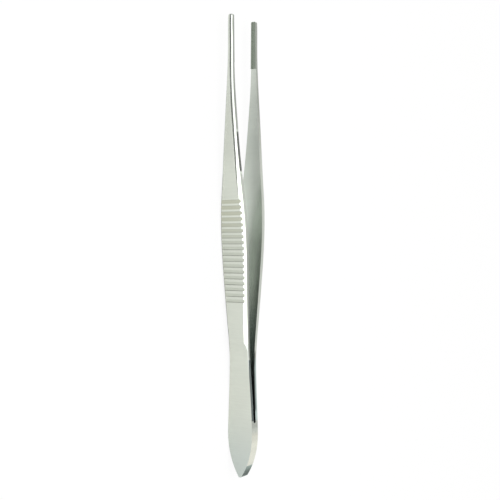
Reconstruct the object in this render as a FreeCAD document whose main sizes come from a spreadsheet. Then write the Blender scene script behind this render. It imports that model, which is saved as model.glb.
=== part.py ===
"""Thumb forceps with fine toothed jaws, lying on their side edges. Millimetres.

Two spring arms are welded together over the butt and open towards the tips. Each arm is drawn in its
own frame: x runs from the tail to the tip, y points outwards from the weld plane and z runs across the
width. The two bodies are then turned into the part's frame, where +Z is up, the tips point to -X, the
front arm lies on the -Y side and the origin is under the middle of the part, on the surface.
"""
import FreeCAD, Part
import math
import os

import Sketcher

# Driving dimensions. A place along an arm is measured from the tail, a width is a full width, and a
# wall is the height of the upright side wall between the inner face and the bevel.
SIZES = {
    "overall_length": 150.0,
    # weld and slot
    "butt_thickness": 1.7,
    "slot_end": 18.1,
    "slot_relief": 0.55,
    "slot_round": 0.45,
    # an arm bends after the slot's end, runs straight through the grip and bends back at the nose
    "bow_at": 30.13,
    "bow_radius": 330.0,
    "bow_angle": 3.92,
    "nose_bend_at": 111.6,
    "nose_bend_radius": 660.0,
    # stations of an arm, from the tail to the tip
    "butt_at": 15.0,
    "butt_width": 9.56,
    "spring_at": 28.0,
    "spring_width": 8.44,
    "waist_at": 39.0,
    "waist_width": 7.5,
    "waist_wall": 1.03,
    "heel_at": 50.0,
    "heel_width": 7.96,
    "heel_wall": 1.22,
    "palm_at": 62.0,
    "palm_width": 8.96,
    "grip_at": 77.0,
    "grip_width": 9.8,
    "grip_wall": 1.4,
    "finger_at": 89.0,
    "finger_width": 8.84,
    "shoulder_at": 97.0,
    "shoulder_width": 7.24,
    "shoulder_wall": 1.32,
    "neck_at": 105.5,
    "neck_width": 5.68,
    "neck_wall": 1.3,
    "nose_at": 118.0,
    "nose_width": 3.86,
    "nose_wall": 1.12,
    "throat_at": 128.0,
    "throat_width": 2.52,
    "throat_wall": 1.0,
    "jaw_width": 2.04,
    "jaw_wall": 0.84,
    "tip_width": 1.68,
    "tip_wall": 0.76,
    # bevels beside the outer flat, and the rounding between bevel and flat
    "bevel": 0.92,
    "nose_bevel": 0.77,
    "throat_bevel": 0.68,
    "jaw_bevel": 0.6,
    "tip_bevel": 0.5,
    "grip_blend": 0.12,
    "shoulder_blend": 0.6,
    "nose_blend": 1.15,
    "throat_blend": 1.05,
    "jaw_blend": 0.9,
    "tip_blend": 0.75,
    "blank_allowance": 0.3,
    # where the bevelled back runs down to the spring leaf
    "ramp_foot": 41.7,
    "ramp_angle": 20.0,
    # pointed tail and rounded tip, seen on the outer face
    "tail_arch": 24.8,
    "tail_round": 0.8,
    "tip_round": 0.45,
    # cross grooves of the grip
    "groove_from": 57.85,
    "groove_pitch": 1.893,
    "groove_count": 18,
    "groove_width": 1.06,
    "groove_floor": 0.96,
    "groove_depth": 0.46,
    # jaws: a platform with two toothed rails on the rear arm and one on the front arm
    "jaw_length": 15.5,
    "platform_height": 0.32,
    "rail_width": 0.42,
    "rail_height": 0.2,
    "rail_clearance": 0.04,
    "tooth_pitch": 0.5,
    "tooth_gap": 0.4,
    "tooth_depth": 0.12,
    "tooth_count": 30,
}
REACH = 20.0             # how far a large cutting outline reaches past the solid that it cuts
OVERRUN = 1.0            # the same for a small cutter, and the spare stock that is left on the blank
CLOSE = 1e-3             # two places nearer than this are the same

doc = FreeCAD.newDocument("thumb_forceps")
sheet = doc.addObject("Spreadsheet::Sheet", "sizes")
for row, (alias, number) in enumerate(SIZES.items(), start=1):
    sheet.set("A%d" % row, alias)
    sheet.set("B%d" % row, str(number))
    sheet.setAlias("B%d" % row, alias)
doc.recompute()


class Size:
    """A number together with the expression that gives it from the sheet."""

    def __init__(self, number, text):
        self.number = float(number)
        self.text = text

    def join(self, other, sign, number):
        return Size(number, "(%s %s %s)" % (self.text, sign, other.text))

    def __add__(self, other):
        other = lifted(other)
        return self.join(other, "+", self.number + other.number)

    def __sub__(self, other):
        other = lifted(other)
        return self.join(other, "-", self.number - other.number)

    def __mul__(self, other):
        other = lifted(other)
        return self.join(other, "*", self.number * other.number)

    def __truediv__(self, other):
        other = lifted(other)
        return self.join(other, "/", self.number / other.number)

    def __radd__(self, other):
        return lifted(other) + self

    def __rsub__(self, other):
        return lifted(other) - self

    def __rmul__(self, other):
        return lifted(other) * self

    def __neg__(self):
        return 0 - self


def lifted(other):
    """A plain number as a Size."""
    return other if isinstance(other, Size) else Size(other, repr(float(other)))


def sized(alias):
    """A cell of the sheet as a Size."""
    return Size(getattr(sheet, alias), "sizes." + alias)


def tangent(angle):
    """The tangent of an angle in degrees."""
    return Size(math.tan(math.radians(angle.number)), "tan(%s)" % angle.text)


# Sums that more than one feature uses.
LENGTH = sized("overall_length")
RELIEF = sized("slot_relief")
SLOPE = tangent(sized("bow_angle"))
JAW_FROM = LENGTH - sized("jaw_length")
NOSE_REACH = sized("nose_bend_radius") * tangent(sized("bow_angle") / 2)
NOSE_TO = sized("nose_bend_at") + NOSE_REACH
JAW_GAP = RELIEF + (sized("nose_bend_at") - sized("bow_at")) * SLOPE
PLATFORM = JAW_GAP - sized("platform_height")


def straight_gap(at):
    """Distance of the inner face from the weld plane along the straight grip."""
    return RELIEF + (at - sized("bow_at")) * SLOPE


def nose_gap(at):
    """The same distance along the long bend that brings the nose back to the jaw's direction."""
    left = NOSE_TO - at
    return JAW_GAP - left * left / (2 * sized("nose_bend_radius"))


def leaf_side(at):
    """Side wall of the blank over the butt and the spring leaf, where its back is cut away."""
    return sized("butt_thickness") + sized("blank_allowance")


def side(gap, wall):
    """Outer edge of the side wall at a station."""
    return lambda at: gap(at) + sized(wall)


def middle(one, other):
    """Half way between two cells, for the station that keeps the loft even along the jaws."""
    return (sized(one) + sized(other)) / 2


# Stations of the blank: place, full width, outer edge of the side wall, bevel, rounding.
BEVEL = sized("bevel")
GRIP_BLEND = sized("grip_blend")
BUTT_WIDTH = sized("butt_width")
STATIONS = [
    ("stock", lifted(-OVERRUN), BUTT_WIDTH, leaf_side, BEVEL, GRIP_BLEND),
    ("tail", sized("butt_at") / 2, BUTT_WIDTH, leaf_side, BEVEL, GRIP_BLEND),
    ("butt", sized("butt_at"), BUTT_WIDTH, leaf_side, BEVEL, GRIP_BLEND),
    ("spring", sized("spring_at"), sized("spring_width"), leaf_side, BEVEL, GRIP_BLEND),
    ("waist", sized("waist_at"), sized("waist_width"), side(straight_gap, "waist_wall"), BEVEL,
     GRIP_BLEND),
    ("heel", sized("heel_at"), sized("heel_width"), side(straight_gap, "heel_wall"), BEVEL, GRIP_BLEND),
    ("palm", sized("palm_at"), sized("palm_width"), side(straight_gap, "grip_wall"), BEVEL, GRIP_BLEND),
    ("grip", sized("grip_at"), sized("grip_width"), side(straight_gap, "grip_wall"), BEVEL, GRIP_BLEND),
    ("finger", sized("finger_at"), sized("finger_width"), side(straight_gap, "grip_wall"), BEVEL,
     GRIP_BLEND),
    ("shoulder", sized("shoulder_at"), sized("shoulder_width"), side(nose_gap, "shoulder_wall"), BEVEL,
     sized("shoulder_blend")),
    ("neck", sized("neck_at"), sized("neck_width"), side(nose_gap, "neck_wall"),
     sized("nose_bevel"), sized("nose_blend")),
    ("nose", sized("nose_at"), sized("nose_width"), side(nose_gap, "nose_wall"),
     sized("nose_bevel"), sized("nose_blend")),
    ("throat", sized("throat_at"), sized("throat_width"), side(nose_gap, "throat_wall"),
     sized("throat_bevel"), sized("throat_blend")),
    ("jaw", JAW_FROM, sized("jaw_width"), lambda at: JAW_GAP + sized("jaw_wall"), sized("jaw_bevel"),
     sized("jaw_blend")),
    ("jaw_middle", LENGTH - sized("jaw_length") / 2, middle("jaw_width", "tip_width"),
     lambda at: JAW_GAP + middle("jaw_wall", "tip_wall"), middle("jaw_bevel", "tip_bevel"),
     middle("jaw_blend", "tip_blend")),
    ("tip", LENGTH, sized("tip_width"), lambda at: JAW_GAP + sized("tip_wall"), sized("tip_bevel"),
     sized("tip_blend")),
]


def origin_plane(body, role):
    return [plane for plane in body.Origin.OriginFeatures if plane.Role == role][0]


def new_sketch(body, name, role, offset=None, turn=None):
    """A sketch on one of the body's origin planes, moved by bound offsets and turned by a bound angle."""
    sketch = body.newObject("Sketcher::SketchObject", name)
    sketch.AttachmentSupport = [(origin_plane(body, role), "")]
    sketch.MapMode = "FlatFace"
    base = offset or {}
    spot = FreeCAD.Vector(*[base[axis].number if axis in base else 0 for axis in "xyz"])
    angle = turn.number if turn else 0
    sketch.AttachmentOffset = FreeCAD.Placement(spot, FreeCAD.Rotation(FreeCAD.Vector(0, 0, 1), angle))
    for axis, where in base.items():
        sketch.setExpression("AttachmentOffset.Base." + axis, where.text)
    if turn:
        sketch.setExpression("AttachmentOffset.Rotation.Angle", turn.text)
    return sketch


def bind(sketch, kind, places, size):
    """Add a constraint with a size and bind it to the sheet."""
    index = sketch.addConstraint(Sketcher.Constraint(kind, *places, size.number))
    sketch.setExpression("Constraints[%d]" % index, size.text)


def pin(sketch, geometry, end, x=None, y=None):
    """Bind a point's distance from the sketch's axes."""
    for kind, where, axis in (("DistanceX", x, -2), ("DistanceY", y, -1)):
        if where is None:
            continue
        if abs(where.number) < 1e-9:
            sketch.addConstraint(Sketcher.Constraint("PointOnObject", geometry, end, axis))
        elif where.number > 0:
            bind(sketch, kind, (-1, 1, geometry, end), where)
        else:
            bind(sketch, kind, (geometry, end, -1, 1), -where)


def outline(sketch, corners):
    """Draw a closed outline. A corner is x, y and, where it is rounded, the radius."""
    spots = [FreeCAD.Vector(lifted(c[0]).number, lifted(c[1]).number, 0) for c in corners]
    trims = []
    for i, corner in enumerate(corners):
        if len(corner) == 2:
            trims.append(0.0)
            continue
        before = (spots[i - 1] - spots[i]).normalize()
        after = (spots[(i + 1) % len(spots)] - spots[i]).normalize()
        trims.append(corner[2].number / math.tan(before.getAngle(after) / 2))
    lines = []
    for i, spot in enumerate(spots):
        j = (i + 1) % len(spots)
        along = (spots[j] - spot).normalize()
        line = Part.LineSegment(spot + along * trims[i], spots[j] - along * trims[j])
        lines.append(sketch.addGeometry(line, False))
    for i, corner in enumerate(corners):
        before, after = lines[i - 1], lines[i]
        x, y = lifted(corner[0]), lifted(corner[1])
        if len(corner) == 2:
            sketch.addConstraint(Sketcher.Constraint("Coincident", before, 2, after, 1))
            pin(sketch, after, 1, x, y)
            continue
        start = sketch.Geometry[before].EndPoint
        end = sketch.Geometry[after].StartPoint
        into = (spots[i] - start).normalize()
        out = (end - spots[i]).normalize()
        bisector = (out - into).normalize()
        half = math.pi / 2 - into.getAngle(out) / 2
        centre = spots[i] + bisector * (corner[2].number / math.sin(half))
        crown = centre - bisector * corner[2].number
        arc = Part.Arc(start, crown, end)
        bent = sketch.addGeometry(arc, False)
        turns_left = into.x * out.y - into.y * out.x > 0
        first, last = (1, 2) if turns_left else (2, 1)
        sketch.addConstraint(Sketcher.Constraint("Tangent", before, 2, bent, first))
        sketch.addConstraint(Sketcher.Constraint("Tangent", bent, last, after, 1))
        bind(sketch, "Radius", (bent,), corner[2])
        tip = sketch.addGeometry(Part.Point(spots[i]), True)
        pin(sketch, tip, 1, x, y)
        sketch.addConstraint(Sketcher.Constraint("PointOnObject", tip, 1, before))
        sketch.addConstraint(Sketcher.Constraint("PointOnObject", tip, 1, after))


def cut_through(body, sketch, name):
    """Cut the sketched outline away on both sides of its plane."""
    cut = body.newObject("PartDesign::Pocket", name)
    cut.Profile = sketch
    cut.Midplane = True
    cut.Length = 2 * REACH
    return cut


def add_blank(body):
    """The arm's bevelled back, lofted through its stations, with stock left on the inner side."""
    profiles = []
    for name, at, width, edge, bevel, blend in STATIONS:
        sketch = new_sketch(body, name + "_section", "YZ_Plane", {"z": at})
        half = width / 2
        wall_top = edge(at)
        back = wall_top + bevel
        flat = half - bevel
        outline(sketch, [(-OVERRUN, -half), (wall_top, -half), (back, -flat, blend),
                         (back, flat, blend), (wall_top, half), (-OVERRUN, half)])
        profiles.append(sketch)
    blank = body.newObject("PartDesign::AdditiveLoft", "blank")
    blank.Profile = profiles[0]
    blank.Sections = profiles[1:]
    return blank


def cut_inner_face(body):
    """Weld plane, slot end, relief, grip, nose and the raised jaw platform, seen from the side."""
    sketch = new_sketch(body, "inner_face", "XY_Plane")
    slot = sized("slot_end")
    outline(sketch, [(-REACH, 0), (slot, 0), (slot, RELIEF, sized("slot_round")),
                     (sized("bow_at"), RELIEF, sized("bow_radius")),
                     (sized("nose_bend_at"), JAW_GAP, sized("nose_bend_radius")),
                     (JAW_FROM, JAW_GAP), (JAW_FROM, PLATFORM), (LENGTH + REACH, PLATFORM),
                     (LENGTH + REACH, -REACH), (-REACH, -REACH)])
    return cut_through(body, sketch, "inner_cut")


def cut_spring_leaf(body):
    """The back is ground down to a thin leaf behind the grip, which ends the bevels in a ramp."""
    sketch = new_sketch(body, "spring_leaf", "XY_Plane")
    butt = sized("butt_thickness")
    foot = sized("ramp_foot")
    foot_back = butt + (foot - sized("bow_at")) * SLOPE
    top = foot + REACH
    top_back = foot_back + REACH * tangent(sized("ramp_angle"))
    outline(sketch, [(-REACH, butt), (sized("bow_at"), butt, sized("bow_radius") - butt + RELIEF),
                     (foot, foot_back), (top, top_back), (top, 2 * REACH), (-REACH, 2 * REACH)])
    return cut_through(body, sketch, "leaf_cut")


def cut_tail(body):
    """Two arches that meet in a rounded point, seen on the outer face."""
    sketch = new_sketch(body, "tail_arch", "XZ_Plane")
    radius = sized("tail_arch").number
    nib = sized("tail_round").number
    half = sized("butt_width").number / 2
    drop = radius - half
    reach = math.sqrt((radius - nib) ** 2 - drop ** 2)
    start = nib + reach
    arcs = []
    for sign in (1, -1):
        centre = FreeCAD.Vector(start, -sign * drop, 0)
        touch = math.atan2(sign * drop, -reach)
        span = sorted([touch % (2 * math.pi), math.pi / 2 if sign > 0 else 3 * math.pi / 2])
        circle = Part.Circle(centre, FreeCAD.Vector(0, 0, 1), radius)
        arcs.append(sketch.addGeometry(Part.ArcOfCircle(circle, span[0], span[1]), False))
    touch = math.atan2(drop, -reach)
    circle = Part.Circle(FreeCAD.Vector(nib, 0, 0), FreeCAD.Vector(0, 0, 1), nib)
    point = sketch.addGeometry(Part.ArcOfCircle(circle, touch, 2 * math.pi - touch), False)
    upper, lower = arcs
    sketch.addConstraint(Sketcher.Constraint("Tangent", upper, 2, point, 1))
    sketch.addConstraint(Sketcher.Constraint("Tangent", point, 2, lower, 1))
    corners = [(start, half), (start, REACH), (-REACH, REACH), (-REACH, -REACH), (start, -REACH),
               (start, -half)]
    spots = [FreeCAD.Vector(x, y, 0) for x, y in corners]
    frame = [sketch.addGeometry(Part.LineSegment(a, b), False) for a, b in zip(spots, spots[1:])]
    for one, other in zip(frame, frame[1:]):
        sketch.addConstraint(Sketcher.Constraint("Coincident", one, 2, other, 1))
    sketch.addConstraint(Sketcher.Constraint("Coincident", frame[0], 1, upper, 1))
    sketch.addConstraint(Sketcher.Constraint("Coincident", frame[-1], 2, lower, 2))
    for line in (frame[0], frame[-1]):
        sketch.addConstraint(Sketcher.Constraint("Vertical", line))
    pin(sketch, frame[1], 1, None, lifted(REACH))
    pin(sketch, frame[2], 1, lifted(-REACH), lifted(REACH))
    pin(sketch, frame[3], 1, lifted(-REACH), lifted(-REACH))
    pin(sketch, frame[4], 1, None, lifted(-REACH))
    bind(sketch, "Radius", (upper,), sized("tail_arch"))
    bind(sketch, "Radius", (lower,), sized("tail_arch"))
    bind(sketch, "Radius", (point,), sized("tail_round"))
    pin(sketch, point, 3, sized("tail_round"), lifted(0))
    pin(sketch, upper, 3, None, sized("butt_width") / 2 - sized("tail_arch"))
    sketch.addConstraint(Sketcher.Constraint("Vertical", upper, 3, upper, 1))
    sketch.addConstraint(Sketcher.Constraint("Vertical", lower, 3, upper, 3))
    sketch.addConstraint(Sketcher.Constraint("Vertical", lower, 2, lower, 3))
    return cut_through(body, sketch, "tail_cut")


def cut_grooves(body):
    """Cross grooves milled into the grip; their ends run out on the bevels."""
    start = sized("groove_from")
    back = straight_gap(start) + sized("grip_wall") + sized("bevel")
    sketch = new_sketch(body, "groove", "XY_Plane", {"x": start, "y": back}, sized("bow_angle"))
    mouth = sized("groove_width") / 2
    floor = sized("groove_floor") / 2
    depth = sized("groove_depth")
    outline(sketch, [(-mouth, OVERRUN), (-mouth, 0), (-floor, -depth), (floor, -depth), (mouth, 0),
                     (mouth, OVERRUN)])
    groove = cut_through(body, sketch, "groove_cut")
    return repeat(body, groove, sketch, "groove_pattern", sized("groove_pitch"), sized("groove_count"))


def repeat(body, feature, sketch, name, pitch, count):
    """Repeat a cut along its sketch's horizontal axis."""
    doc.recompute()
    pattern = body.newObject("PartDesign::LinearPattern", name)
    pattern.Originals = [feature]
    pattern.Direction = (sketch, ["H_Axis"])
    pattern.Length = (pitch * (count - 1)).number
    pattern.setExpression("Length", (pitch * (count - 1)).text)
    pattern.Occurrences = int(count.number)
    pattern.setExpression("Occurrences", count.text)
    body.Tip = pattern
    return pattern


def round_tip(body):
    """Round the edges around the tip's end, apart from the one beside the jaw's inner face."""
    doc.recompute()
    base = body.Tip
    names = []
    for i, edge in enumerate(base.Shape.Edges, start=1):
        ends = [vertex.Point for vertex in edge.Vertexes]
        at_tip = all(abs(p.x - LENGTH.number) < CLOSE for p in ends)
        if at_tip and any(p.y > JAW_GAP.number for p in ends):
            names.append("Edge%d" % i)
    rounding = body.newObject("PartDesign::Fillet", "tip_rounding")
    rounding.Base = (base, names)
    rounding.Radius = sized("tip_round").number
    rounding.setExpression("Radius", sized("tip_round").text)
    return rounding


def cut_rails(body, double):
    """Leave two rails beside a channel on one jaw, and one rail that fits the channel on the other."""
    sketch = new_sketch(body, "rails", "YZ_Plane", {"z": LENGTH})
    half = sized("rail_width") / 2
    below = PLATFORM - OVERRUN
    if double:
        half = half + sized("rail_clearance")
        floor = PLATFORM + sized("rail_height") + sized("rail_clearance")
        outline(sketch, [(below, -half), (floor, -half), (floor, half), (below, half)])
    else:
        floor = PLATFORM + sized("rail_height")
        for sign in (1, -1):
            near = half * sign
            far = (sized("jaw_width") / 2 + OVERRUN) * sign
            outline(sketch, [(below, near), (floor, near), (floor, far), (below, far)])
    cut = body.newObject("PartDesign::Pocket", "rail_cut")
    cut.Profile = sketch
    cut.Length = sized("jaw_length").number
    cut.setExpression("Length", sized("jaw_length").text)
    return cut


def cut_teeth(body):
    """Fine cross teeth over the rails."""
    pitch = sized("tooth_pitch")
    sketch = new_sketch(body, "tooth_gap", "XY_Plane", {"x": LENGTH - pitch * sized("tooth_count"),
                                                        "y": PLATFORM})
    half = sized("tooth_gap") / 2
    outline(sketch, [(-half, -OVERRUN), (half, -OVERRUN), (half, 0), (0, sized("tooth_depth")),
                     (-half, 0)])
    gap = cut_through(body, sketch, "tooth_cut")
    return repeat(body, gap, sketch, "tooth_pattern", pitch, sized("tooth_count"))


def make_arm(label, double, turn_axis):
    """One spring arm, turned into the part's frame about the given axis."""
    body = doc.addObject("PartDesign::Body", label)
    body.Label = label
    add_blank(body)
    cut_inner_face(body)
    cut_spring_leaf(body)
    cut_tail(body)
    cut_grooves(body)
    round_tip(body)
    cut_rails(body, double)
    cut_teeth(body)
    body.Placement = FreeCAD.Placement(FreeCAD.Vector(LENGTH.number / 2, 0, sized("grip_width").number / 2),
                                       FreeCAD.Rotation(turn_axis, 180))
    body.setExpression("Placement.Base.x", (LENGTH / 2).text)
    body.setExpression("Placement.Base.z", (sized("grip_width") / 2).text)
    return body


ARMS = [
    make_arm("front_arm", False, FreeCAD.Vector(0, 0, 1)),
    make_arm("rear_arm", True, FreeCAD.Vector(0, 1, 0)),
]
doc.recompute()

for thing in doc.Objects:
    if "Invalid" in thing.State or "Error" in thing.State:
        raise RuntimeError("%s failed: %s" % (thing.Name, thing.State))
for arm in ARMS:
    if arm.Shape.isNull() or not arm.Shape.isValid() or len(arm.Shape.Solids) != 1:
        raise RuntimeError("%s has no valid single solid" % arm.Label)

os.makedirs("parts", exist_ok=True)
for arm in ARMS:
    arm.Shape.exportStep("parts/%s.step" % arm.Label)
    box = arm.Shape.optimalBoundingBox(False)
    print("%s volume %.1f mm3, x %.2f to %.2f, y %.2f to %.2f, z %.2f to %.2f" % (
        arm.Label, arm.Shape.Volume, box.XMin, box.XMax, box.YMin, box.YMax, box.ZMin, box.ZMax))
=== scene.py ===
# %% [markdown]
# # Thumb forceps in satin steel
#
# The object is a pair of slender thumb forceps: two spring arms of stainless steel that are welded
# together over a pointed, leaf-shaped butt. Each arm has a flat ground back with polished bevels
# beside it, a grip with cross grooves, a long tapering nose and a narrow toothed jaw. They lie on
# the side walls of their arms, with the tips towards -X.
#
# The shape is finished before this script starts: the packed model comes in as two steel arms at
# their real size. This lesson gives the steel its finishes and sets up the studio. Everything is in
# metres.

import math

import bpy
from mathutils import Matrix, Vector


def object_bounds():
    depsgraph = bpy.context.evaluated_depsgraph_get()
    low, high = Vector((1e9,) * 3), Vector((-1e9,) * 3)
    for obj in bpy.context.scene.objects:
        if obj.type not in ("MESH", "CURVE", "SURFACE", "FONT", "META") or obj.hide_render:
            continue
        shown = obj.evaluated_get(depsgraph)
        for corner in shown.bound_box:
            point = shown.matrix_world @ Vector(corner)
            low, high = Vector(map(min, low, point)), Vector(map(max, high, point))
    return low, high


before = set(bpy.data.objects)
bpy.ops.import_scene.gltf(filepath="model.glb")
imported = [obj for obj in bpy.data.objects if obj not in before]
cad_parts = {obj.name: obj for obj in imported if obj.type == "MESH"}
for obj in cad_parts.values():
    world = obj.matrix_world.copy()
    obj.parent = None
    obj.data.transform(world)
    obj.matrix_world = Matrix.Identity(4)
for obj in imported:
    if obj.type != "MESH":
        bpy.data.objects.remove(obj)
cad_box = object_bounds()
scene = bpy.context.scene
MM = 0.001
print("nodes:", sorted(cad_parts))
print("box in mm:", [[round(c / MM, 2) for c in corner] for corner in cad_box])

# %% [markdown]
# ## A short way to write shader maths
#
# A finish such as ground steel is a sum of many small effects, and each of them is a few nodes.
# Wires laid one by one in code are long and hard to read, so a small class stands for an output
# socket. Adding or multiplying two of these adds the Math node that does it, so that a finish reads
# like a formula. Every other node comes from one method of a second class, which sets the node up
# and then feeds its sockets.

# %% A socket that can do sums
class Wire:
    """An output socket of a shader node. Sums on it add Math nodes to its tree."""

    def __init__(self, paint, socket):
        self.paint = paint
        self.socket = socket

    def maths(self, operation, first, second=None):
        """One Math node on one or two wires or numbers."""
        sources = {0: first} if second is None else {0: first, 1: second}
        return self.paint.add("ShaderNodeMath", {"operation": operation}, sources)

    def __add__(self, other):
        return self.maths("ADD", self, other)

    def __radd__(self, other):
        return self.maths("ADD", other, self)

    def __sub__(self, other):
        return self.maths("SUBTRACT", self, other)

    def __rsub__(self, other):
        return self.maths("SUBTRACT", other, self)

    def __mul__(self, other):
        return self.maths("MULTIPLY", self, other)

    def __rmul__(self, other):
        return self.maths("MULTIPLY", other, self)

    def __truediv__(self, other):
        return self.maths("DIVIDE", self, other)

    def __rtruediv__(self, other):
        return self.maths("DIVIDE", other, self)

    def __abs__(self):
        return self.maths("ABSOLUTE", self)

    def least(self, other):
        """The smaller of the two."""
        return self.maths("MINIMUM", self, other)

    def most(self, other):
        """The larger of the two, which joins two masks."""
        return self.maths("MAXIMUM", self, other)

    def wrapped(self, period):
        """The rest that is left after whole periods, from 0 to the period."""
        return self.maths("FLOORED_MODULO", self, period)

    def rises(self, low, high):
        """0 below low, 1 above high and a smooth step between."""
        return self.paint.add("ShaderNodeMapRange", {"interpolation_type": "SMOOTHSTEP"},
                              {"Value": self, "From Min": low, "From Max": high})

    def between(self, low, high, soft):
        """1 from low to high and 0 outside, with ends as wide as soft."""
        half = soft / 2
        rise = self.rises(low - half, low + half)
        return rise * (1 - self.rises(high - half, high + half))


print("sums ready:", ", ".join(name for name in vars(Wire) if not name.startswith("__")))


# %% A tree that adds its own nodes
class Paint:
    """The node tree of one material or of the world."""

    def __init__(self, owner):
        owner.use_nodes = True
        self.tree = owner.node_tree
        self.tree.nodes.clear()

    def add(self, kind, settings=None, sources=None, output=0):
        """Add a node: its settings first, then a value or a wire for each socket named."""
        node = self.tree.nodes.new(kind)
        for name, setting in (settings or {}).items():
            setattr(node, name, setting)
        for name, source in (sources or {}).items():
            if isinstance(source, Wire):
                self.tree.links.new(source.socket, node.inputs[name])
            else:
                node.inputs[name].default_value = source
        return Wire(self, node.outputs[output]) if node.outputs else None

    def split(self, vector):
        """The three parts of a vector."""
        node = self.add("ShaderNodeSeparateXYZ", None, {0: vector}).socket.node
        return [Wire(self, part) for part in node.outputs]

    def grey(self, value):
        """A number as a colour without a hue."""
        return self.add("ShaderNodeCombineColor", None, {0: value, 1: value, 2: value})

    def mixed(self, factor, first, second, blend="MIX"):
        """Blend two colours."""
        return self.add("ShaderNodeMix", {"data_type": "RGBA", "blend_type": blend},
                        {0: factor, 6: first, 7: second}, 2)


print("trees ready:", ", ".join(name for name in vars(Paint) if not name.startswith("__")))

# %% [markdown]
# ## Where each finish lies
#
# On the real forceps a grinding belt leaves the flat backs satin, with fine scratches across the
# arm. The bevels and the side walls are polished, the grooves keep the duller surface of the
# cutter, and the jaws are blasted. Each area could be painted by hand, or get a material of its own
# face by face. But all of them follow the shape, so masks from 0 to 1 are worked out instead, from
# two things that every point of the surface knows: where it is, and which way it faces.
#
# A place is measured as on a drawing, in millimetres: `run` along the arm from the tail, `height`
# across its width from the middle, and `out` away from the weld plane. A direction is given by
# `outward`, which is 1 on the flat back, 0 on a side wall and -1 on the inner face, and by `up`.
#
# The numbers for a mask are named together. Two numbers say where a smooth step starts and ends.
# Three numbers say where a mask starts and stops, and how wide its soft ends are. In names that end
# in RUN they are millimetres along the arm, and in those that end in FACING values of `outward`.

# %% Place and direction as wires
LENGTH = (cad_box[1].x - cad_box[0].x) / MM
MIDDLE = (cad_box[1].z - cad_box[0].z) / 2 / MM
FLAT_FACING = (0.5, 0.6)
FLAT_TILT = (0.03, 0.1)  # how far up or down a face may look and still be flat
INNER_FACING = (-0.6, -0.4)
WALL_FACING = (-0.2, 0.2, 0.1)


def places(paint, side):
    """Where a point is, which way it faces, and which face of the arm that makes it."""
    spot = paint.add("ShaderNodeTexCoord", None, None, "Object")
    facing = paint.add("ShaderNodeTexCoord", None, None, "Normal")
    x, y, z = paint.split(spot)
    _, facing_y, up = paint.split(facing)
    outward = facing_y * side
    return {
        "spot": spot,
        "run": LENGTH / 2 - x / MM,
        "out": y * (side / MM),
        "height": z / MM - MIDDLE,
        "outward": outward,
        "up": up,
        "flat": (1 - abs(up).rises(*FLAT_TILT)) * outward.rises(*FLAT_FACING),
        "inner": 1 - outward.rises(*INNER_FACING),
        "side_wall": outward.between(*WALL_FACING),
    }


print("length %.1f mm, mid height %.2f mm" % (LENGTH, MIDDLE))

# %% [markdown]
# ## The grip
#
# Eighteen shallow grooves cross the back of each grip and run out on its bevels. The cutter leaves
# them dull. One edge of each mirrors something dark, and that dark edge is painted shade here, and
# the lands between them stay bright, with a painted highlight in the half towards the tips. A
# picture of stripes would have to be lined up with the grooves. Here a point is in a groove when it
# lies deeper than the straight back of the grip, and its distance from the groove's middle comes
# from what is left of its run after whole pitches.
#
# In the half towards the tail the dark edge is the one nearer the tail. In the half towards the
# tips it is the other one, at half the strength. There the real grooves are also a little wider
# than the modelled ones, so a narrow lip on the tail's side of each takes the groove's finish.
# Where a groove runs out on a bevel, its rim is darkened with painted shade.

# %% Masks of the grip
GRIP_LINE = (30.13, 0.55, math.tan(math.radians(3.92)))  # run, gap and slope of the inner face
GRIP_THICK = 2.32
GROOVE_FROM, GROOVE_PITCH, GROOVE_COUNT = 57.85, 1.893, 18
GROOVE_MARGIN = 0.75
GRIP_RUN = (GROOVE_FROM - GROOVE_MARGIN,
            GROOVE_FROM + GROOVE_PITCH * (GROOVE_COUNT - 1) + GROOVE_MARGIN, 0.1)
TIP_HALF_RUN = (74, 86)
GROOVE_DEPTH = (0.1, 0.2)
GROOVE_FACING = (0.9, 0.96)
LIP_ACROSS = (-0.8, -0.45, 0.08)  # millimetres from a groove's middle, minus towards the tail
TAIL_EDGE_ACROSS = (-0.42, -0.22)
TIP_EDGE_ACROSS = (0.2, 0.4)
TIP_EDGE_SHARE = 0.5
RIM_DEPTH = (0.12, 0.3)
RIM_FACING = (0.8, 0.95)


def grip_masks(at):
    """The grooves, the painted shade on one edge of each, and the lands and rims beside them."""
    line_run, line_gap, slope = GRIP_LINE
    depth = (at["run"] - line_run) * slope + (line_gap + GRIP_THICK) - at["out"]
    past_start = at["run"] - GROOVE_FROM + GROOVE_PITCH / 2
    across = past_start.wrapped(GROOVE_PITCH) - GROOVE_PITCH / 2
    in_grip = at["run"].between(*GRIP_RUN)
    tip_half = at["run"].rises(*TIP_HALF_RUN)

    cut = depth.rises(*GROOVE_DEPTH) * in_grip
    lip = across.between(*LIP_ACROSS) * tip_half * in_grip
    groove = cut.most(lip) * at["outward"].rises(*GROOVE_FACING)
    # The dark edge of each groove is painted shade: nearer the tail in the tail half, nearer the
    # tips in the tip half.
    tail_edge = (1 - across.rises(*TAIL_EDGE_ACROSS)) * (1 - tip_half)
    tip_edge = across.rises(*TIP_EDGE_ACROSS) * tip_half * TIP_EDGE_SHARE
    # Where a groove runs out on a bevel, its rim gets painted shade.
    rim = (1 - depth.rises(*RIM_DEPTH)) * (1 - at["outward"].rises(*RIM_FACING)) * in_grip
    return {
        "groove": groove,
        "groove_edge_shade": groove * tail_edge.most(tip_edge),
        # The lands towards the tips get a painted highlight.
        "land_highlight": in_grip * (1 - groove) * tip_half,
        "rim": rim * (1 - at["side_wall"]),
        "tip_half": tip_half,
    }


print("%d grooves from %.1f to %.1f mm" % ((GROOVE_COUNT,) + GRIP_RUN[:2]))
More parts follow.
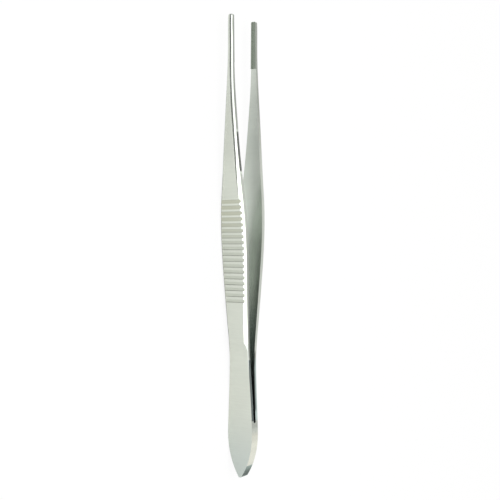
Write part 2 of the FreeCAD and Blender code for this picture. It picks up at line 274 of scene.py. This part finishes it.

# %% [markdown]
# ## The back, the bevels and the nose
#
# The ground back is a little darker over the butt. A narrow rounded edge leads from it to the bevel
# and mirrors the dim room, so it shows as a thin dark line on the upper side. The model has this
# rounded edge too, but it is finer than a pixel of the picture, so the faces of that slope also get
# a dark tint, which is a painted reflection. A line painted by hand would have to follow the edge
# along the whole arm, while the way a face looks finds the edge by itself.
#
# The line is fainter over the neck and reaches onto the rounder back near the tips. The ramp that
# ends the bevels at the spring leaf is darkened with painted shade. The bevels and side walls of
# the nose grow darker towards the tips, and the whole arm is a little dimmer along the middle of
# the
# nose: both are painted shade.

# %% Masks of the back and the nose
BUTT_RUN = (-2, 26)
TIP_RUN = (124, 136)
EDGE_STARTS_FACING = (0.70, 0.745)
EDGE_STOPS_FACING = (0.82, 0.87)
TIP_EDGE_FACING = (0.86, 0.9)
TIP_LINE_SHARE = 0.5
UPPER_SIDE = (0, 0.15)
FAINT_LINE_RUN = (96, 114, 12)
FAINT_LINE_SHARE = 0.5
RAMP_RUN = (18.8, 44, 0.3)
RAMP_FACING = (0.4, 0.9, 0.1)
NOSE_BEVEL_RUN = (104, 124)
BEVEL_FACING = (0.72, 0.78)
NOSE_SHADE_RUN = (104, 128, 12)


def back_masks(at):
    """The butt, the dark line beside the flat back, the ramp, and the painted shade on the nose."""
    tip = at["run"].rises(*TIP_RUN)
    # The dark line is a painted reflection of the dim room, kept to the upper side.
    line = at["outward"].rises(*EDGE_STARTS_FACING) - at["outward"].rises(*EDGE_STOPS_FACING)
    line = line.most(at["outward"].rises(*TIP_EDGE_FACING) * tip * TIP_LINE_SHARE)
    line = line * at["up"].rises(*UPPER_SIDE)
    # The nose is dimmed with painted shade along its middle, and its bevels towards the tips.
    nose_shade = at["run"].between(*NOSE_SHADE_RUN)
    not_flat = (1 - at["outward"].rises(*BEVEL_FACING)) * (1 - at["inner"])
    return {
        "butt": 1 - at["run"].rises(*BUTT_RUN),
        "line": line * (1 - at["run"].between(*FAINT_LINE_RUN) * FAINT_LINE_SHARE),
        # The ramp at the spring leaf gets painted shade.
        "ramp": at["run"].between(*RAMP_RUN) * at["outward"].between(*RAMP_FACING),
        "nose_bevel": not_flat * at["run"].rises(*NOSE_BEVEL_RUN),
        "nose_shade": nose_shade,
        "inner_nose_shade": nose_shade * at["inner"],
    }


print("butt fades out at %g mm, haze from %g to %g mm" % (BUTT_RUN[1], NOSE_SHADE_RUN[0], NOSE_SHADE_RUN[1]))

# %% [markdown]
# ## The side walls
#
# The side walls look up while the forceps lie on the table. They are polished, and on the real arms
# their inner edges are slightly rounded, so they mirror the other arm more than a flat wall does.
# Rounding those edges in the mesh would show it, but it takes many thousands of triangles. So the
# walls stay flat, and painted reflections and a leaning shading direction stand in for the rounding
# in three ways.
#
# A `strip` along the inner side of the front arm's wall is darker, a painted reflection of the
# other arm, and so is the `cleft` on the rear arm, near the end of the slot. Where the front arm is
# thin, over the spring leaf and over the neck of the nose, its shading direction leans inwards as
# on
# a rounded edge: this is the `crown`.
#
# From the ramp to the middle of the grip the whole wall is a little darker, a painted shade. The
# leaf's wall is cooler in colour. Along the butt the wall is warmer, with a painted highlight and
# then a painted shade, and the cut end of the tail is darkened with painted shade.

# %% How far the inner face is from the weld plane
BOW_BEND = (18.8, 41.4, 330.0)  # where the bend starts and stops, and its radius
NOSE_BEND = (89.0, 134.2, 660.0)
JAW_GAP = 6.132  # the gap that is reached at the jaws


def left_of_bend(run, start, stop):
    """How much of a bend is still to come at this run."""
    return (stop - run).most(0).least(stop - start)


def inner_gap(run):
    """The inner face as two long bends with the straight grip between them."""
    start, stop, radius = NOSE_BEND
    left = left_of_bend(run, start, stop)
    gap = JAW_GAP - left * left / (2 * radius) - (start - run).most(0) * GRIP_LINE[2]
    start, stop, radius = BOW_BEND
    left = left_of_bend(run, start, stop)
    return gap + left * left / (2 * radius)


print("inner faces %.1f mm apart at the jaws" % (2 * JAW_GAP))

# %% Masks of the side walls
INNER_EDGE = (0, 1.1)  # millimetres from the inner face
LEAF_RUN = (18.8, 38.8, 0.3)
NECK_RUN = (99.8, 112, 3)
CLEFT_RUN = (22, 41, 2)
STRIP_RUN = (39, 102, 1)
STRIP_FADE_RUN = (50, 100)
WHOLE_WALL_RUN = (39, 78, 12)
WHOLE_WALL_SHARE = 0.4
BRIGHT_RUN = (10.3, 15, 2.5)
DARK_RUN = (16.5, 19, 1.5)
WARM_RUN = (4, 15, 2)
END_RUN = (3.85, 4.15)


def wall_masks(at):
    """The painted reflections and shade on the side walls, their colours, and the tail's end."""
    run, wall = at["run"], at["side_wall"]
    inner_side = 1 - (at["out"] - inner_gap(run)).rises(*INNER_EDGE)
    leaf = run.between(*LEAF_RUN)
    # The strip and the cleft are painted reflections of the other arm: darker tones on the wall's
    # inner side.
    strip = inner_side * run.between(*STRIP_RUN) * (1 - run.rises(*STRIP_FADE_RUN))
    return {
        "strip": strip.most(run.between(*WHOLE_WALL_RUN) * WHOLE_WALL_SHARE) * wall,
        "cleft": inner_side * wall * run.between(*CLEFT_RUN),
        "crown": leaf.most(run.between(*NECK_RUN)) * wall,
        "cool": leaf * wall,
        "warm": wall * run.between(*WARM_RUN),
        # A painted highlight and then a painted shade along the butt's wall, and painted shade on
        # the tail's end.
        "sheen": wall * (run.between(*BRIGHT_RUN) - run.between(*DARK_RUN)),
        "end": wall * (1 - run.rises(*END_RUN)),
    }


print("leaf from %g to %g mm, tail end up to %g mm" % (LEAF_RUN[0], LEAF_RUN[1], END_RUN[1]))

# %% [markdown]
# ## The inner faces and the jaws
#
# The picture shows the rear arm's inner face. It mirrors the front arm, and less and less light
# gets in between the two towards the weld. Mirroring alone leaves the face too even, and lamps in
# the gap would be mirrored themselves. So the colour helps with painted light and shade: it grows
# darker towards the weld in two steps, and beside the grip it has two patches of light that are
# bright on the lower side and dark on the upper one. The jaws are blasted and dull, and their dark
# colour is painted shade.

# %% Masks of the inner face
JAW_RUN = (134.4, 134.5)
DEEP_STEPS = (((40, 62), 0.4), ((27, 38), 0.6))  # where a step fades out, and its share
DIM_RUN, DIM_TONE = (52, 62, 8), -0.06
# The place of each patch of light, its tone, the heights it falls between and by how much.
PATCHES = (((57, 82, 20), 0.27, (-2.5, 5.5), 0.79), ((80, 95, 8), 0.15, (1.5, 4), 0.2))


def inner_masks(at):
    """The jaws, the dark end towards the weld and the light between the arms."""
    run = at["run"]
    near, far = [(1 - run.rises(*fade)) * share for fade, share in DEEP_STEPS]
    glow = run.between(*DIM_RUN) * DIM_TONE
    for place, tone, heights, fall in PATCHES:
        glow = glow + run.between(*place) * (tone - at["height"].rises(*heights) * fall)
    return {
        "jaw": at["inner"] * run.rises(*JAW_RUN),
        "deep": near + far,
        "glow": glow * at["inner"],
    }


print("jaws from %g mm, %d patches of light" % (JAW_RUN[1], len(PATCHES)))

# %% [markdown]
# ## Ground and polished steel
#
# One material per arm carries all the finishes, and the painted reflections and painted shade as
# well. Steel has no colour of its own beyond a slight warm green, and it shows its surroundings, so
# the finishes differ in roughness and in how much light they give back. The colours are laid over
# each other like coats of paint, each one through its mask, so that a later coat covers an earlier
# one. The coats of the edge line, the groove edges, the rims, the ramp, the deep inner face and the
# tail end are painted shade and painted reflection, and the dark jaws are blasted steel darkened
# with painted shade.

# %% Colours and coats
FLAT_COLOUR = (0.640, 0.668, 0.604, 1)
BUTT_COLOUR = (0.505, 0.555, 0.528, 1)
POLISHED_COLOUR = (0.660, 0.695, 0.630, 1)
# Painted reflections and shade: the edge line, the groove edges, the rims and the ramp, the deep
# inner face, the tail end, and the darkening of the blasted jaws.
EDGE_REFLECTION_COLOUR = (0.150, 0.170, 0.170, 1)
TAIL_GROOVE_COLOUR = (0.575, 0.605, 0.535, 1)
TIP_GROOVE_COLOUR = (0.555, 0.570, 0.475, 1)
GROOVE_EDGE_SHADE_COLOUR = (0.440, 0.450, 0.410, 1)
RIM_SHADE_COLOUR = (0.330, 0.350, 0.330, 1)
INNER_COLOUR = (0.600, 0.640, 0.590, 1)
DEEP_COLOUR = (0.320, 0.370, 0.380, 1)
JAW_BLAST_AND_SHADE_COLOUR = (0.300, 0.340, 0.290, 1)
WARM_COLOUR = (0.655, 0.660, 0.575, 1)
COOL_COLOUR = (0.620, 0.730, 0.700, 1)
TAIL_END_SHADE_COLOUR = (0.300, 0.375, 0.340, 1)


def steel_colour(paint, where):
    """The coats, from the polished steel to the painted shade on the end of the tail."""
    ground = paint.mixed(where["butt"], FLAT_COLOUR, BUTT_COLOUR)
    cut = paint.mixed(where["tip_half"], TAIL_GROOVE_COLOUR, TIP_GROOVE_COLOUR)
    hollow = paint.mixed(where["deep"], INNER_COLOUR, DEEP_COLOUR)
    coats = (("flat", ground), ("line", EDGE_REFLECTION_COLOUR), ("groove", cut),
             ("groove_edge_shade", GROOVE_EDGE_SHADE_COLOUR), ("rim", RIM_SHADE_COLOUR), ("ramp", RIM_SHADE_COLOUR),
             ("inner", hollow), ("jaw", JAW_BLAST_AND_SHADE_COLOUR), ("warm", WARM_COLOUR),
             ("cool", COOL_COLOUR), ("end", TAIL_END_SHADE_COLOUR))
    colour = POLISHED_COLOUR
    for mask, coat in coats:
        colour = paint.mixed(where[mask], colour, coat)
    return colour


print("colours ready, flat back:", FLAT_COLOUR[:3])

# %% [markdown]
# ## The grain of the belt
#
# The belt's scratches run across the arm. A photograph of brushed steel could be wrapped round the
# arm, but it would repeat and stretch on the bevels. Noise that is stretched along the width gives
# the same lines anywhere: many to the millimetre along the arm and few across it. Wider streaks
# and soft clouds are the same noise at other scales. The fine scratches go through a Bump node on
# the ground faces, with a little of them in the roughness and the tone.

# %% Noise at three scales
SCRATCH_SCALE, SCRATCH_DETAIL = (9000, 900, 450), 3.0
STREAK_SCALE, STREAK_DETAIL = (2000, 600, 100), 1.0
CLOUD_SCALE, CLOUD_DETAIL = (90, 90, 90), 2.0
NOISE_MIDDLE = 0.5


def noise(paint, spot, scale, detail):
    """Noise with a scale of its own along each axis."""
    stretched = paint.add("ShaderNodeMapping", None, {"Vector": spot, "Scale": scale})
    return paint.add("ShaderNodeTexNoise", None,
                     {"Vector": stretched, "Scale": 1.0, "Detail": detail})


print("scratches %.0f times longer than wide" % (SCRATCH_SCALE[0] / SCRATCH_SCALE[2]))

# %% Roughness and tone
POLISHED_ROUGH, FLAT_ROUGH, GROOVE_ROUGH, INNER_ROUGH, JAW_ROUGH = 0.14, 0.34, 0.42, 0.22, 0.5
SCRATCH_ROUGH = 0.08
BASE_TONE, SCRATCH_TONE, STREAK_TONE, CLOUD_TONE = 0.90, 0.10, 0.07, 0.08
# These tones paint light and shade: shade along the nose and on its bevels, light between the arms,
# a highlight and a shade on the butt's wall, and a highlight on the lands.
TONES = {"nose_shade": -0.08, "inner_nose_shade": -0.06, "glow": 1.0, "sheen": 0.2, "land_highlight": 0.07,
         "nose_bevel": -0.3}


def steel_roughness(where, scratches):
    """Polished steel, with duller finishes where the belt, the cutter and the blast went."""
    rough = POLISHED_ROUGH + where["flat"] * (FLAT_ROUGH - POLISHED_ROUGH)
    for mask, own in (("groove", GROOVE_ROUGH), ("inner", INNER_ROUGH), ("jaw", JAW_ROUGH)):
        rough = rough + where[mask] * (own - rough)
    return rough + (scratches - NOISE_MIDDLE) * SCRATCH_ROUGH


def steel_tone(paint, where, scratches, arm_tones):
    """The share of its colour that the steel gives back, as a grey, with painted light and shade.
    """
    clouds = noise(paint, where["spot"], CLOUD_SCALE, CLOUD_DETAIL)
    streaks = noise(paint, where["spot"], STREAK_SCALE, STREAK_DETAIL)
    tone = BASE_TONE + scratches * SCRATCH_TONE + clouds * CLOUD_TONE
    tone = tone + (streaks - NOISE_MIDDLE) * STREAK_TONE
    for mask, amount in {**TONES, **arm_tones}.items():
        tone = tone + where[mask] * amount
    return paint.grey(tone)


print("roughness from %.2f to %.2f, %d tones" % (POLISHED_ROUGH, JAW_ROUGH, len(TONES)))

# %% Direction of the shading
BUMP_STRENGTH = 0.25
BUMP_DISTANCE = 0.01 * MM


def steel_direction(paint, where, scratches, lean):
    """The surface's direction with the scratches in it, leaning inwards on the crown."""
    bump = paint.add("ShaderNodeBump", None, {
        "Height": scratches, "Strength": where["flat"] * BUMP_STRENGTH,
        "Distance": BUMP_DISTANCE})
    inwards = paint.add("ShaderNodeCombineXYZ", None, {"Y": where["crown"] * lean})
    leaning = paint.add("ShaderNodeVectorMath", {"operation": "ADD"}, {0: bump, 1: inwards})
    return paint.add("ShaderNodeVectorMath", {"operation": "NORMALIZE"}, {0: leaning})


print("scratches up to %.2f mm deep" % (BUMP_DISTANCE / MM))

# %% [markdown]
# ## Both arms
#
# Apart from their jaws the arms are mirror images, so one function makes the steel of both. It
# takes the side that an arm's back faces, the painted reflections on its walls and how far its
# crown
# leans: the front arm shows the painted strip and the crown, and the rear arm the painted cleft.

# %% The steel of both arms
ARMS = {
    "front_arm": {"side": -1.0, "lean": 0.6, "tones": {"strip": -0.69}},
    "rear_arm": {"side": 1.0, "lean": 0.0, "tones": {"cleft": -0.75}},
}


def steel(name, side, lean, tones):
    """Satin steel with polished bevels, duller grooves and blasted jaws."""
    material = bpy.data.materials.new(name)
    paint = Paint(material)
    where = places(paint, side)
    for masks in (grip_masks, back_masks, wall_masks, inner_masks):
        where.update(masks(where))

    scratches = noise(paint, where["spot"], SCRATCH_SCALE, SCRATCH_DETAIL)
    tone = steel_tone(paint, where, scratches, tones)
    shader = paint.add("ShaderNodeBsdfPrincipled", None, {
        "Base Color": paint.mixed(1.0, steel_colour(paint, where), tone, "MULTIPLY"),
        "Roughness": steel_roughness(where, scratches),
        "Metallic": 1.0,
        "Normal": steel_direction(paint, where, scratches, -side * lean)})
    paint.add("ShaderNodeOutputMaterial", None, {"Surface": shader})
    return material


for node, own in ARMS.items():
    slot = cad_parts[node].material_slots[0]
    slot.material = steel(node + "_steel", **own)
    print(node, "finished:", slot.material.name, len(slot.material.node_tree.nodes), "nodes")

# %% [markdown]
# ## Floor
#
# The forceps lie on plain white. The floor could be lit until it turns white, but then the steel
# would be too bright as well. So it glows towards the camera instead, and the rest of its look is
# a matt white that still takes a soft shadow. In the steel only a tenth of that glow is added, for
# the flat backs mirror the floor, and their satin would wash out in more of it.

# %% Floor
FLOOR_SIZE = 6.0
FLOOR_COLOUR = (0.8, 0.8, 0.79, 1)
WHITE = (1, 1, 1, 1)
SHOWN_GLOW = 0.92
MIRRORED_GLOW = 0.1


def floor_material():
    """Matt white that also glows: much towards the camera and a little in the steel."""
    material = bpy.data.materials.new("white_floor")
    paint = Paint(material)
    seen, glossy, clear = [paint.add("ShaderNodeLightPath", None, None, ray) for ray in
                           ("Is Camera Ray", "Is Glossy Ray", "Is Transmission Ray")]
    glow = (seen * SHOWN_GLOW).most(glossy.most(clear) * MIRRORED_GLOW)
    matt = paint.add("ShaderNodeBsdfDiffuse", None, {"Color": FLOOR_COLOUR})
    white = paint.add("ShaderNodeEmission", None, {"Color": WHITE, "Strength": 1.0})
    shader = paint.add("ShaderNodeMixShader", None, {0: glow, 1: matt, 2: white})
    paint.add("ShaderNodeOutputMaterial", None, {"Surface": shader})
    return material


bpy.ops.mesh.primitive_plane_add(size=FLOOR_SIZE)
floor = bpy.context.object
floor.name = "floor"
floor.data.materials.append(floor_material())
print("floor %.0f m square" % FLOOR_SIZE)

# %% [markdown]
# ## World and light
#
# Metal shows what stands round it, so the studio is part of the finish. On the camera's side the
# world turns bright between 28 and 42 degrees up, and the bevels mirror that as a white line. Below
# it the room is dim, and the rounded edges mirror it as a thin dark one. The side walls mirror the
# world behind the object, which is bright from a little above the floor and dimmer higher up.
# Lamps alone could light all of this, but each of them would show as a spot in the steel. So the
# world does most of it, and one wide soft box overhead adds a direction and a soft shadow.

# %% World: a dim room, bright above
DIM_ROOM = 0.3
BRIGHT_ROOM = 0.95
REAR_SHARE = 0.88
REAR_SIDE = (-0.1, 0.3)
CEILING = [math.sin(math.radians(angle)) for angle in (28, 42)]
REAR_STARTS, REAR_DIMS = (0.05, 0.25), (0.42, 0.58)
REAR_DIMMING = 0.45

world = bpy.data.worlds.new("studio")
scene.world = world
room = Paint(world)
_, backwards, upwards = room.split(room.add("ShaderNodeTexCoord", None, None, "Generated"))
rear = backwards.rises(*REAR_SIDE)
overhead = upwards.rises(*CEILING)
behind = upwards.rises(*REAR_STARTS) - upwards.rises(*REAR_DIMS) * REAR_DIMMING
sky = DIM_ROOM + (overhead * (1 - rear) + behind * rear * REAR_SHARE) * BRIGHT_ROOM
camera_ray = room.add("ShaderNodeLightPath", None, None, "Is Camera Ray")
shown = room.mixed(camera_ray, room.grey(sky), WHITE)
background = room.add("ShaderNodeBackground", None, {"Color": shown})
room.add("ShaderNodeOutputWorld", None, {"Surface": background})
print("world from %.2f to %.2f" % (DIM_ROOM, DIM_ROOM + BRIGHT_ROOM))

# %% Soft box
BOX_PLACE = Vector((0, -0.4, 0.75))
BOX_SIZE = 0.9
BOX_POWER = 5.0

lamp = bpy.data.lights.new("overhead", "AREA")
lamp.size = BOX_SIZE
lamp.energy = BOX_POWER
soft_box = bpy.data.objects.new("overhead", lamp)
scene.collection.objects.link(soft_box)
soft_box.location = BOX_PLACE
soft_box.rotation_euler = (-BOX_PLACE).to_track_quat("-Z", "Y").to_euler()
print("soft box %.1f m wide, %.2f m from the forceps" % (BOX_SIZE, BOX_PLACE.length))

# %% [markdown]
# ## Camera
#
# The photograph looks down on the front arm from 35 degrees above its back, and is turned so that
# the tips point up. A long lens from about 30 cm away keeps the front arm only a little larger than
# the rear one. The camera could be aimed at a target and then rolled, but its own axes are plainer
# to write down: to the right runs across the arms' width, up runs towards the tips, and the third
# axis points back from the object.

# %% Camera
LOOK_DOWN = math.radians(35.0)
LEAN = math.radians(-0.5)
DISTANCE = 294.6 * MM
FOCUS_RUN = 74.3
SIDE_STEP = 2.32 * MM
SENSOR = 36.0  # millimetres, as lenses are described
PIXELS = 500
FOCAL_PIXELS = 900.0
NEAREST = 0.01

right = Vector((0, math.sin(LOOK_DOWN), math.cos(LOOK_DOWN)))
to_tips = Vector((-1, 0, 0))
level_away = Vector((0, math.cos(LOOK_DOWN), -math.sin(LOOK_DOWN)))
image_up = to_tips * math.cos(LEAN) - level_away * math.sin(LEAN)
away = to_tips * math.sin(LEAN) + level_away * math.cos(LEAN)
focus = Vector(((LENGTH / 2 - FOCUS_RUN) * MM, 0, MIDDLE * MM))

lens = bpy.data.cameras.new("camera")
lens.sensor_width = SENSOR
lens.lens = FOCAL_PIXELS / PIXELS * SENSOR
lens.clip_start = NEAREST
camera = bpy.data.objects.new("camera", lens)
scene.collection.objects.link(camera)
turn = Matrix((right, image_up, -away)).transposed().to_4x4()
camera.matrix_world = Matrix.Translation(focus + right * SIDE_STEP - away * DISTANCE) @ turn
scene.camera = camera
scene.view_settings.view_transform = "Standard"
print("lens %.1f mm, camera at" % lens.lens, [round(c / MM) for c in camera.location])

# %% [markdown]
# ## Sizes
#
# The finishes must not change the size of the object.

# %% Sizes and finish
print("scene set up")
